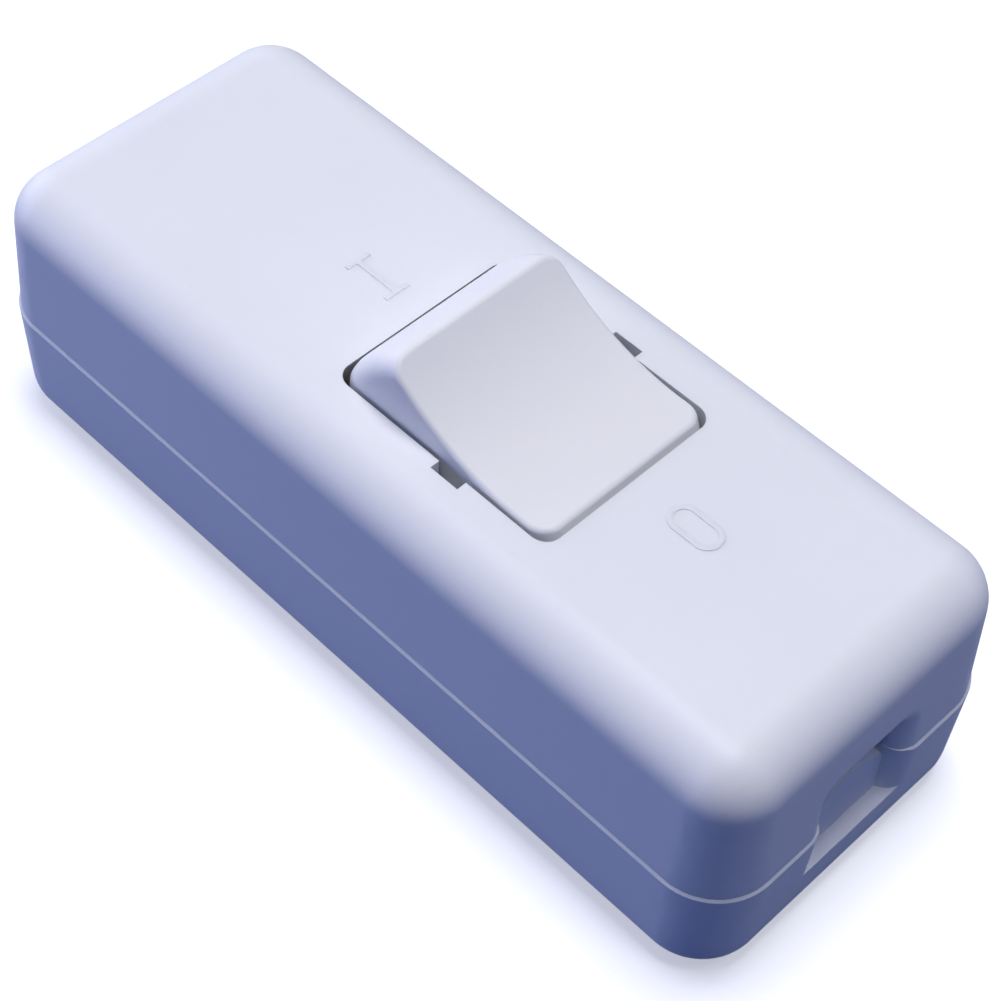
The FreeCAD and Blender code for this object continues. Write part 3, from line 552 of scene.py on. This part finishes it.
def screw_head(node, under, way):
    """The head of a carried-over screw, cut from its shank and softened at its edges."""
    shape = bmesh.new()
    shape.from_mesh(frame["nodes"][node].data)
    bmesh.ops.remove_doubles(shape, verts=shape.verts, dist=WELD * MM)
    bmesh.ops.bisect_plane(
        shape, geom=whole(shape), dist=HAIR * MM, plane_co=(0, 0, under), plane_no=(0, 0, -way),
        clear_outer=True,
    )
    bmesh.ops.remove_doubles(shape, verts=shape.verts, dist=WELD * MM)
    close_holes(shape)
    bmesh.ops.dissolve_limit(
        shape, angle_limit=math.radians(FLAT_ANGLE), verts=shape.verts, edges=shape.edges,
    )
    shape.normal_update()
    angle = math.radians(SHARP_ANGLE)
    sharp = [e for e in shape.edges if e.is_manifold and e.calc_face_angle(0.0) > angle]
    clear = HEAD_SOFTENING * MM
    sharp = [e for e in sharp if all((v.co.z - under) * way > clear for v in e.verts)]
    soften(shape, sharp, HEAD_SOFTENING)
    return shape


def add_thread(shape, axis, start, end):
    """A core and one helical ridge between two heights, on an upright axis."""
    low, high = sorted((start, end))
    middle = Matrix.Translation((*axis, (low + high) / 2))
    bmesh.ops.create_cone(
        shape, cap_ends=True, segments=CORE_SIDES, radius1=THREAD_CORE * MM,
        radius2=THREAD_CORE * MM, depth=high - low, matrix=middle,
    )
    turns = math.floor((high - low) / (THREAD_PITCH * MM)) - 1
    root = THREAD_CORE - THREAD_SUNK
    ridge = (
        (root, 0.0),
        (THREAD_CREST, RIDGE_CREST_LOW),
        (THREAD_CREST, RIDGE_CREST_HIGH),
        (root, 1.0),
    )
    corners = []
    for radius, rise in ridge:
        spot = (axis[0] + radius * MM, axis[1], low + rise * RIDGE_WIDTH * THREAD_PITCH * MM)
        corners.append(shape.verts.new(spot))
    rims = [shape.edges.new(pair) for pair in zip(corners, corners[1:] + corners[:1])]
    steps = STEPS_PER_TURN * turns
    rise = Vector((0, 0, THREAD_PITCH * MM * turns / steps))
    bmesh.ops.spin(
        shape, geom=corners + rims, cent=(*axis, 0), axis=(0, 0, 1), dvec=rise,
        angle=math.tau * turns, steps=steps, use_merge=False, use_duplicate=False,
    )
    close_holes(shape)
    bmesh.ops.recalc_face_normals(shape, faces=shape.faces)


def cut_threads(finish):
    """Gives every screw a softened head and a real thread."""
    for node in frame["nodes"]:
        kind = node.rsplit("_", 1)[0].replace("_load", "").replace("_supply", "")
        if kind not in HEAD_HEIGHTS:
            continue
        low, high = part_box(node)
        points_up = kind == "case_screw"
        head = HEAD_HEIGHTS[kind] * MM
        under = low[2] + head if points_up else high[2] - head
        tip = high[2] if points_up else low[2]
        axis = ((low[0] + high[0]) / 2, (low[1] + high[1]) / 2)
        shape = screw_head(node, under, -1 if points_up else 1)
        add_thread(shape, axis, under, tip)
        piece = new_piece("threaded_" + node, shape, finish, "housing")
        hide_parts(node)


def coil(side):
    """A round-wire compression spring with closed ends, in its bore in the rocker at rest."""
    shape = bmesh.new()
    made = bmesh.ops.create_circle(shape, segments=WIRE_SIDES, radius=WIRE_RADIUS * MM)["verts"]
    stand = Matrix.Translation((COIL_RADIUS * MM, 0, (COIL_LOW + WIRE_RADIUS) * MM))
    stand = stand @ Matrix.Rotation(math.pi / 2, 4, "X")
    bmesh.ops.transform(shape, matrix=stand, verts=made)
    closed_rise = 2 * WIRE_RADIUS * CLOSED_TURNS
    active_rise = COIL_HIGH - COIL_LOW - 2 * WIRE_RADIUS - 2 * closed_rise
    ring = made + shape.edges[:]
    closed = (CLOSED_TURNS, closed_rise)
    for turns, rise in (closed, (ACTIVE_TURNS, active_rise), closed):
        steps = round(COIL_STEPS * turns)
        swept = bmesh.ops.spin(
            shape, geom=ring, cent=(0, 0, 0), axis=(0, 0, 1), dvec=(0, 0, rise / steps * MM),
            angle=math.tau * turns, steps=steps, use_merge=False, use_duplicate=False,
        )
        ring = swept["geom_last"]
    close_holes(shape)
    bmesh.ops.recalc_face_normals(shape, faces=shape.faces)
    turned = Matrix.Rotation(math.radians(ROCKER_TILT), 4, "Y")
    placed = Matrix.Translation((PIVOT[0] * MM, side * MM, PIVOT[1] * MM)) @ turned
    bmesh.ops.transform(shape, matrix=placed, verts=shape.verts)
    return shape, placed @ Vector((0, 0, COIL_HIGH * MM)), turned @ Vector((0, 0, 1))


def wind_springs(finish):
    """Sets both plunger springs in place."""
    for pole, side in LANES.items():
        shape, top, axis = coil(side)
        piece = new_piece("wound_spring_" + pole, shape, finish, "rocker")
        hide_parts("plunger_spring_" + pole)
        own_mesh(piece)


def dress_nodes(finishes):
    """Welds and smooths each carried-over node and gives it its finish."""
    slots = slot_of_nodes()
    for name, piece in frame["nodes"].items():
        weld = piece.modifiers.new("weld", "WELD")
        weld.merge_threshold = WELD * MM
        crease(piece)
        piece.data.polygons.foreach_set("use_smooth", [True] * len(piece.data.polygons))
        piece.data.materials.clear()
        piece.data.materials.append(finishes[slots[name]])


# Room and floor

def seen_rays(tree):
    """How much a ray sees of the white surroundings: the eye and glass all, gloss a share."""
    rays = ("Is Camera Ray", "Is Glossy Ray", "Is Transmission Ray")
    path = tree.nodes.new("ShaderNodeLightPath")
    eye, gloss, glass = (Flow(tree, path.outputs[ray]) for ray in rays)
    return eye.greater(gloss * GLOSS_SHARE).greater(glass)


def set_world():
    """A dim bluish room that shows as white behind the object and in its gloss."""
    world = bpy.data.worlds.new("room")
    bpy.context.scene.world = world
    world.use_nodes = True
    tree = world.node_tree
    tree.nodes.clear()
    seen = seen_rays(tree)
    room = tree.nodes.new("ShaderNodeBackground")
    room.inputs["Color"].default_value = ROOM_COLOUR
    room.inputs["Strength"].default_value = ROOM_STRENGTH
    white = tree.nodes.new("ShaderNodeBackground")
    white.inputs["Color"].default_value = (1, 1, 1, 1)
    mix = tree.nodes.new("ShaderNodeMixShader")
    out = tree.nodes.new("ShaderNodeOutputWorld")
    tree.links.new(seen.socket, mix.inputs[0])
    tree.links.new(room.outputs[0], mix.inputs[1])
    tree.links.new(white.outputs[0], mix.inputs[2])
    tree.links.new(mix.outputs[0], out.inputs["Surface"])


def lay_floor():
    """A wide pale floor under the switch, white to the eye, which keeps its shadow."""
    mesh = bpy.data.meshes.new("floor")
    shape = bmesh.new()
    bmesh.ops.create_circle(shape, cap_ends=True, segments=FLOOR_SIDES, radius=FLOOR_RADIUS)
    shape.to_mesh(mesh)
    shape.free()
    floor = bpy.data.objects.new("floor", mesh)
    bpy.context.scene.collection.objects.link(floor)
    finish = Finish("floor_paint")
    bare = finish.node("ShaderNodeBsdfDiffuse", inputs={"Color": FLOOR_BARE})
    pale = finish.node("ShaderNodeBsdfDiffuse", inputs={"Color": FLOOR_PALE})
    place = {0: finish.place()}
    away = finish.node("ShaderNodeVectorMath", {"operation": "LENGTH"}, place, "Value")
    share = (away - FLOOR_NEAR) / (FLOOR_FAR - FLOOR_NEAR)
    paler = finish.blended(share, (FLOOR_GLOW, FLOOR_GLOW, FLOOR_GLOW), (1, 1, 1))
    glow = finish.node("ShaderNodeEmission", inputs={"Color": paler})
    shown = finish.node("ShaderNodeAddShader", inputs={0: pale, 1: glow})
    sides = {0: seen_rays(finish.tree), 1: bare, 2: shown}
    mixed = finish.node("ShaderNodeMixShader", inputs=sides)
    finish.node("ShaderNodeOutputMaterial", inputs={"Surface": mixed})
    mesh.materials.append(finish.material)


bpy.context.scene.view_settings.view_transform = "Standard"
set_camera()
set_world()
lay_floor()
for lamp in LAMPS:
    soft_lamp(*lamp)
finishes = make_materials()
dress_nodes(finishes)
place_marks(finishes["case_plastic"])
fit_webs(finishes["case_plastic"])
cut_threads(finishes["plated_steel"])
wind_springs(finishes["spring_steel"])
